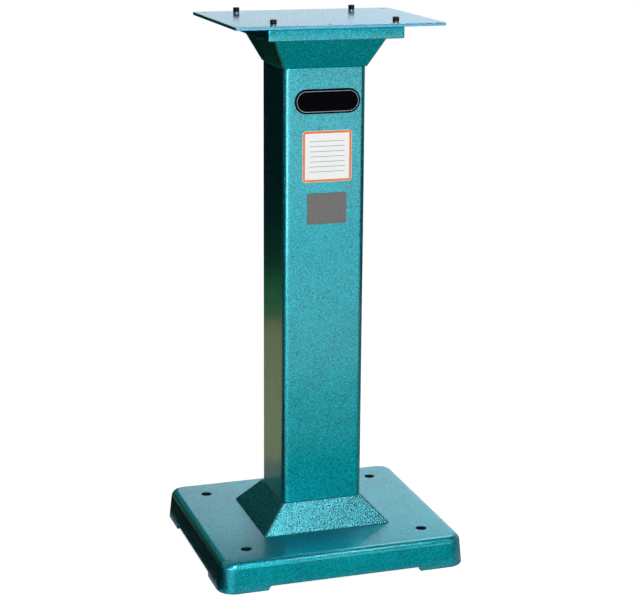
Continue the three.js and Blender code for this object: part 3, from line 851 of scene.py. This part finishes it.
def tie_rod():
    low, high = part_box("tie_rod")
    shell = Shell()
    core = ROD_RADIUS - ROD_THREAD_DEPTH
    bottom = low.z + ROD_END_CHAMFER
    top = high.z - ROD_END_CHAMFER
    outlines = [circle(core, low.z)]
    outlines += thread(ROD_RADIUS, ROD_THREAD_DEPTH, ROD_PITCH, bottom, bottom + ROD_THREAD_LENGTH)
    outlines += thread(ROD_RADIUS, ROD_THREAD_DEPTH, ROD_PITCH, top - ROD_THREAD_LENGTH, top)
    outlines.append(circle(core, high.z))
    shell.closed(outlines)
    return shell.piece("threaded_rod", [zinc_steel], "zinc_steel", "tie_rod")


def hexagon_nut(end):
    """A nut whose corners are turned off at both ends, so that each flat is bounded by two arcs."""
    node = end + "_tie_nut"
    low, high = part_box(node)

    def flats(z, direction):
        points = []
        for angle in turns(ROUND_STEPS):
            reach = hexagon_radius(NUT_ACROSS_FLATS, angle)
            fall = NUT_CHAMFER_SLOPE * (reach - NUT_FACE_RADIUS)
            points.append(around(reach, angle, z + direction * fall))
        return points

    shell = Shell()
    shell.looped([
        circle(NUT_HOLE_RADIUS, low.z),
        circle(NUT_FACE_RADIUS, low.z),
        flats(low.z, 1),
        flats(high.z, -1),
        circle(NUT_FACE_RADIUS, high.z),
        circle(NUT_HOLE_RADIUS, high.z),
    ])
    return shell.piece(end + "_hex_nut", [zinc_steel], "zinc_steel", node)


def flat_washer(end):
    node = end + "_flat_washer"
    low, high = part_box(node)
    radius = (high.x - low.x) / 2

    def outline(inset, z):
        return circle(radius - inset, z)

    shell = Shell()
    outlines = [circle(WASHER_HOLE_RADIUS, low.z)]
    outlines += rolled_side(outline, low.z, high.z, WASHER_EDGE)
    outlines.append(circle(WASHER_HOLE_RADIUS, high.z))
    shell.looped(outlines)
    return shell.piece(end + "_plain_washer", [zinc_steel], "zinc_steel", node)


def lock_washer(node, name, hole_radius, edge):
    """A split ring: a rectangular section carried round from one slanted end to the other."""
    low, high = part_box(node)
    radius = (high.y - low.y) / 2
    section = (
        (hole_radius, low.z), (radius - edge, low.z), (radius, low.z + edge),
        (radius, high.z - edge), (radius - edge, high.z), (hole_radius, high.z),
    )
    shell = Shell()
    rings = []
    for step in range(ROUND_STEPS + 1):
        turn = LOCK_WASHER_GAP / 2 + (2 * math.pi - LOCK_WASHER_GAP) * step / ROUND_STEPS
        points = []
        for reach, z in section:
            angle = turn - LOCK_WASHER_SKEW * ((z - low.z) / (high.z - low.z) - 0.5)
            points.append(around(reach, angle, z))
        rings.append(shell.ring(points))
    for first, second in zip(rings, rings[1:]):
        shell.strip(first, second)
    shell.mesh.faces.new(rings[0])
    shell.mesh.faces.new(rings[-1])
    spot = Matrix.Translation((low.x + radius, low.y + radius, 0))
    return shell.piece(name, [zinc_steel], "zinc_steel", node, spot)


# Plates and labels on the column's front

def on_front(node):
    """Turns a flat piece that lies on z 0 so that it stands on the column's front, at a node's middle."""
    low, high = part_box(node)
    middle = Vector(((low.x + high.x) / 2, high.y, (low.z + high.z) / 2))
    return Matrix.Translation(middle) @ Matrix.Rotation(math.pi / 2, 4, "X")


def node_sheet(node):
    """Width, height and thickness of a flat node on the column's front."""
    low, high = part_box(node)
    return high.x - low.x, high.z - low.z, high.y - low.y


def sheet_piece(node, radius, edge, steps, name, material, slot):
    """A thin plate with rounded corners and a soft front edge."""
    width, height, thickness = node_sheet(node)

    def outline(inset, z):
        return rounded_rectangle(width - 2 * inset, height - 2 * inset, radius - inset, z, steps)

    shell = Shell()
    outlines = [outline(0, 0)]
    outlines += [outline(inset, thickness - below) for inset, below in edge_roll(edge)]
    shell.closed(outlines)
    return shell.piece(name, [material], slot, node, on_front(node))


def border_piece(node, radius, inset, line_width, steps, name, material, slot):
    """A raised line round a plate, at an inset from its edge."""
    width, height, thickness = node_sheet(node)

    def outline(more, z):
        margin = inset + more
        return rounded_rectangle(width - 2 * margin, height - 2 * margin, radius - margin, z, steps)

    shell = Shell()
    high = thickness + PRINT_RELIEF
    low = thickness - PRINT_RELIEF
    shell.looped([
        outline(0, low), outline(0, high), outline(line_width, high), outline(line_width, low),
    ])
    return shell.piece(name, [material], slot, None, on_front(node))


def ruled_lines():
    """Plain write-in lines on the white label."""
    thickness = node_sheet("white_label")[2]
    shell = Shell()
    for row in range(RULE_COUNT):
        y = (row - (RULE_COUNT - 1) / 2) * RULE_PITCH
        outlines = []
        for z in (thickness - PRINT_RELIEF, thickness + PRINT_RELIEF):
            line = rounded_rectangle(RULE_LENGTH, RULE_WIDTH, RULE_RADIUS, z, RULE_CORNER_STEPS)
            outlines.append(moved(line, 0, y))
        shell.closed(outlines)
    return shell.piece("label_lines", [grey_ink], "white_vinyl", None, on_front("white_label"))


def front_labels():
    sheet_piece(
        "nameplate", NAMEPLATE_END_RADIUS, NAMEPLATE_EDGE, CORNER_STEPS,
        "black_nameplate", black_enamel, "black_enamel",
    )
    border_piece(
        "nameplate", NAMEPLATE_END_RADIUS, NAMEPLATE_LINE_INSET, NAMEPLATE_LINE_WIDTH, CORNER_STEPS,
        "nameplate_line", bare_line, "black_enamel",
    )
    sheet_piece(
        "white_label", LABEL_RADIUS, SHEET_EDGE, SMALL_CORNER_STEPS,
        "vinyl_label", white_vinyl, "white_vinyl",
    )
    border_piece(
        "white_label", LABEL_RADIUS, LABEL_BORDER_INSET, LABEL_BORDER_WIDTH, SMALL_CORNER_STEPS,
        "label_border", orange_ink, "white_vinyl",
    )
    ruled_lines()
    sheet_piece(
        "foil_plate", FOIL_RADIUS, SHEET_EDGE, FOIL_CORNER_STEPS,
        "bare_foil_plate", brushed_foil, "brushed_foil",
    )


base_casting()
column_shoe()
column_tube()
flare_collar()
top_flange()
mounting_plate()
for screw_place in SCREW_PLACES:
    cap_screw(screw_place)
    lock_washer(
        "screw_washer_" + screw_place, "split_washer_" + screw_place,
        SCREW_WASHER_HOLE_RADIUS, SCREW_WASHER_EDGE,
    )
tie_rod()
for rod_end in ("lower", "upper"):
    hexagon_nut(rod_end)
    flat_washer(rod_end)
    lock_washer(rod_end + "_lock_washer", rod_end + "_split_washer", WASHER_HOLE_RADIUS, WASHER_EDGE)
front_labels()


# Camera, with its angles in radians

CAMERA_PLACE = Vector((-0.78867, -2.43416, 1.06257))
CAMERA_YAW = 0.3179
CAMERA_PITCH = 0.2564
CAMERA_ROLL = 0.0073
CAMERA_LENS = 97.24
SENSOR_WIDTH = 36.0


def make_camera():
    data = bpy.data.cameras.new("camera")
    data.lens = CAMERA_LENS
    data.sensor_width = SENSOR_WIDTH
    data.sensor_fit = "HORIZONTAL"
    camera = bpy.data.objects.new("camera", data)
    camera.location = CAMERA_PLACE
    turn = Matrix.Rotation(-CAMERA_YAW, 4, "Z")
    tip = Matrix.Rotation(math.pi / 2 - CAMERA_PITCH, 4, "X")
    roll = Matrix.Rotation(CAMERA_ROLL, 4, "Z")
    camera.rotation_euler = (turn @ tip @ roll).to_euler()
    bpy.context.scene.collection.objects.link(camera)
    bpy.context.scene.camera = camera


# Studio: a pale floor, soft lamps, and a backdrop, flags and cards that only reflections show

FLOOR_SIZE = 3.3
FLOOR_DROP = 0.0004
CARD_LIFT = 0.002
BACKDROP_DISTANCE = 3.4
BACKDROP_SHIFT = 1.3
BACKDROP_WIDTH = 4.0
BACKDROP_HEIGHT = 1.55
WALL_SHIFT = -2.25
WALL_WIDTH = 3.1
WALL_LOW = 1.0
WALL_HEIGHT = 1.6
AMBIENT = 0.002
WHITE = (1, 1, 1, 1)
COLUMN_MIDDLE = (0, 0, 0.45)
SHOE_MIDDLE = (0, 0, 0.1)


def stage_material(name, colour, glow=0.0, glow_colour=WHITE, rays=("Is Glossy Ray",)):
    """A matt surface that also glows for some kinds of ray, and still keeps shadows."""
    material = bpy.data.materials.new(name)
    material.use_nodes = True
    tree = material.node_tree
    tree.nodes.clear()
    path = tree.nodes.new("ShaderNodeLightPath").outputs
    seen = 0.0
    for ray in rays:
        seen = sums(tree, "MAXIMUM", seen, path[ray])
    matt = add(tree, "BsdfDiffuse", Color=colour)
    light = add(tree, "Emission", Color=glow_colour, Strength=sums(tree, "MULTIPLY", seen, glow))
    both = tree.nodes.new("ShaderNodeAddShader")
    tree.links.new(matt.outputs[0], both.inputs[0])
    tree.links.new(light.outputs[0], both.inputs[1])
    end = tree.nodes.new("ShaderNodeOutputMaterial")
    tree.links.new(both.outputs[0], end.inputs["Surface"])
    return material


def stage_panel(name, material, matrix, width, height):
    data = bpy.data.meshes.new(name)
    corners = [(sx * width / 2, sy * height / 2, 0) for sx, sy in ((-1, -1), (1, -1), (1, 1), (-1, 1))]
    data.from_pydata(corners, [], [(0, 1, 2, 3)])
    data.materials.append(material)
    panel = bpy.data.objects.new(name, data)
    panel.matrix_world = matrix
    bpy.context.scene.collection.objects.link(panel)
    return panel


def mirrored_panel(name, material, matrix, width, height):
    """A panel that shows only in the reflections on the stand."""
    panel = stage_panel(name, material, matrix, width, height)
    panel.visible_camera = False
    panel.visible_shadow = False
    panel.visible_diffuse = False


def lamp(name, place, width, height, watts, aim=COLUMN_MIDDLE):
    """A soft box that lights and is reflected, but isn't itself in the picture."""
    data = bpy.data.lights.new(name, "AREA")
    data.shape = "RECTANGLE"
    data.size = width
    data.size_y = height
    data.energy = watts
    made = bpy.data.objects.new(name, data)
    made.location = place
    made.rotation_euler = (Vector(aim) - Vector(place)).to_track_quat("-Z", "Y").to_euler()
    made.visible_camera = False
    bpy.context.scene.collection.objects.link(made)


def behind(shift, middle):
    """Where a panel stands behind the stand, square to the camera."""
    turn = Matrix.Rotation(-CAMERA_YAW, 4, "Z")
    place = Matrix.Translation((shift, BACKDROP_DISTANCE, middle))
    return turn @ place @ Matrix.Rotation(math.pi / 2, 4, "X")


def on_floor(x, y, layer=2):
    return Matrix.Translation((x, y, layer * CARD_LIFT))


def beside(x, y, z):
    """Where a card stands upright, facing the column."""
    turn = Matrix.Rotation(math.atan2(y, x), 4, "Z")
    return Matrix.Translation((x, y, z)) @ turn @ Matrix.Rotation(math.pi / 2, 4, "Y")


def make_floor():
    paper = stage_material(
        "floor_paper", (0.7, 0.7, 0.7, 1), glow=0.92, rays=("Is Camera Ray", "Is Transmission Ray"),
    )
    stage_panel("floor", paper, Matrix.Translation((0, 0, -FLOOR_DROP)), FLOOR_SIZE, FLOOR_SIZE)


def make_backdrop():
    """A pale backdrop, with a dark green wall to its left."""
    paper = stage_material(
        "backdrop_paper", (0.5, 0.5, 0.5, 1), glow=0.98, glow_colour=(0.75, 0.92, 1.0, 1),
        rays=("Is Glossy Ray", "Is Transmission Ray"),
    )
    wall_paper = stage_material(
        "wall_paper", (0.02, 0.1, 0.09, 1), glow=0.24, glow_colour=(0.15, 1.0, 0.9, 1),
    )
    backdrop_place = behind(BACKDROP_SHIFT, BACKDROP_HEIGHT / 2)
    wall_place = behind(WALL_SHIFT, WALL_LOW + WALL_HEIGHT / 2)
    mirrored_panel("backdrop", paper, backdrop_place, BACKDROP_WIDTH, BACKDROP_HEIGHT)
    mirrored_panel("wall", wall_paper, wall_place, WALL_WIDTH, WALL_HEIGHT)


def make_floor_cards():
    """Cards on the floor: dark, beige and green behind and to the left, teal in front that turns pale."""
    flag_cloth = stage_material("flag_cloth", (0.01, 0.01, 0.01, 1))
    beige = stage_material("beige_card", (0.5, 0.4, 0.2, 1), glow=0.24, glow_colour=(1.0, 0.82, 0.4, 1))
    green = stage_material("green_card", (0.01, 0.05, 0.01, 1), glow=0.1, glow_colour=(0.1, 1.0, 0.2, 1))
    teal = stage_material("teal_card", (0.0, 0.6, 0.5, 1))
    pale_teal = stage_material("pale_teal_card", (0.35, 0.66, 0.6, 1), glow=0.06)
    pale = stage_material("pale_card", (0.7, 0.7, 0.7, 1), glow=0.3)
    mirrored_panel("left_flag", flag_cloth, on_floor(-0.925, 0.725, layer=1), width=1.45, height=1.85)
    mirrored_panel("back_card", beige, on_floor(-0.6, 0.8), width=1.0, height=0.9)
    mirrored_panel("far_card", green, on_floor(-0.7, 1.45), width=1.0, height=0.4)
    mirrored_panel("near_card", teal, on_floor(0.48, -0.36), width=1.34, height=0.32)
    mirrored_panel("middle_card", pale_teal, on_floor(0.5, -0.71), width=1.3, height=0.38)
    mirrored_panel("ahead_card", pale, on_floor(0.45, -1.55), width=1.9, height=1.3)


def make_white_cards():
    """White cards overhead and at the sides, which keep tops and sides from looking black."""
    white = stage_material("white_card", (0.5, 0.5, 0.5, 1), glow=0.4)
    mirrored_panel("ceiling", white, Matrix.Translation((-0.25, 1.75, 3.0)), width=6.5, height=3.5)
    mirrored_panel("front_card", white, beside(2.5, -2.2, 1.55), width=1.3, height=1.8)
    mirrored_panel("right_card", white, beside(3.2, 0.75, 1.4), width=2.2, height=3.5)
    mirrored_panel("left_card", white, beside(-3.2, -0.25, 2.25), width=1.5, height=2.5)


def make_lamps():
    lamp("key_lamp", place=(-0.3, -2.2, 1.65), width=0.8, height=0.6, watts=29)
    lamp("over_lamp", place=(0.3, -1.4, 2.4), width=1.6, height=1.2, watts=2, aim=SHOE_MIDDLE)
    lamp("right_lamp", place=(0.68, -1.2, 1.87), width=0.2, height=0.2, watts=3, aim=SHOE_MIDDLE)
    lamp("front_panel", place=(0.95, -2.3, 0.28), width=1.8, height=0.52, watts=4)
    lamp("front_strip", place=(-0.35, -2.1, 0.3), width=1.2, height=0.6, watts=2.5)
    lamp("left_front_panel", place=(-1.2, -1.65, 0.3), width=0.9, height=0.6, watts=8)
    lamp("left_panel", place=(-3.0, 0.0, 1.0), width=1.6, height=1.6, watts=2)
    lamp("back_panel", place=(1.6, 2.2, 2.6), width=1.2, height=1.2, watts=12)


def make_world():
    """White where the camera sees it, and nearly dark for the light on the stand."""
    world = bpy.data.worlds.new("studio")
    world.use_nodes = True
    bpy.context.scene.world = world
    tree = world.node_tree
    background = tree.nodes["Background"]
    path = tree.nodes.new("ShaderNodeLightPath").outputs
    seen = sums(tree, "MAXIMUM", path["Is Camera Ray"], path["Is Transmission Ray"])
    feed(tree, background.inputs["Color"], WHITE)
    feed(tree, background.inputs["Strength"], stretched(tree, seen, 0, 1, AMBIENT, 1.0))


make_camera()
make_floor()
make_backdrop()
make_floor_cards()
make_white_cards()
make_lamps()
make_world()
bpy.context.scene.view_settings.view_transform = "Standard"
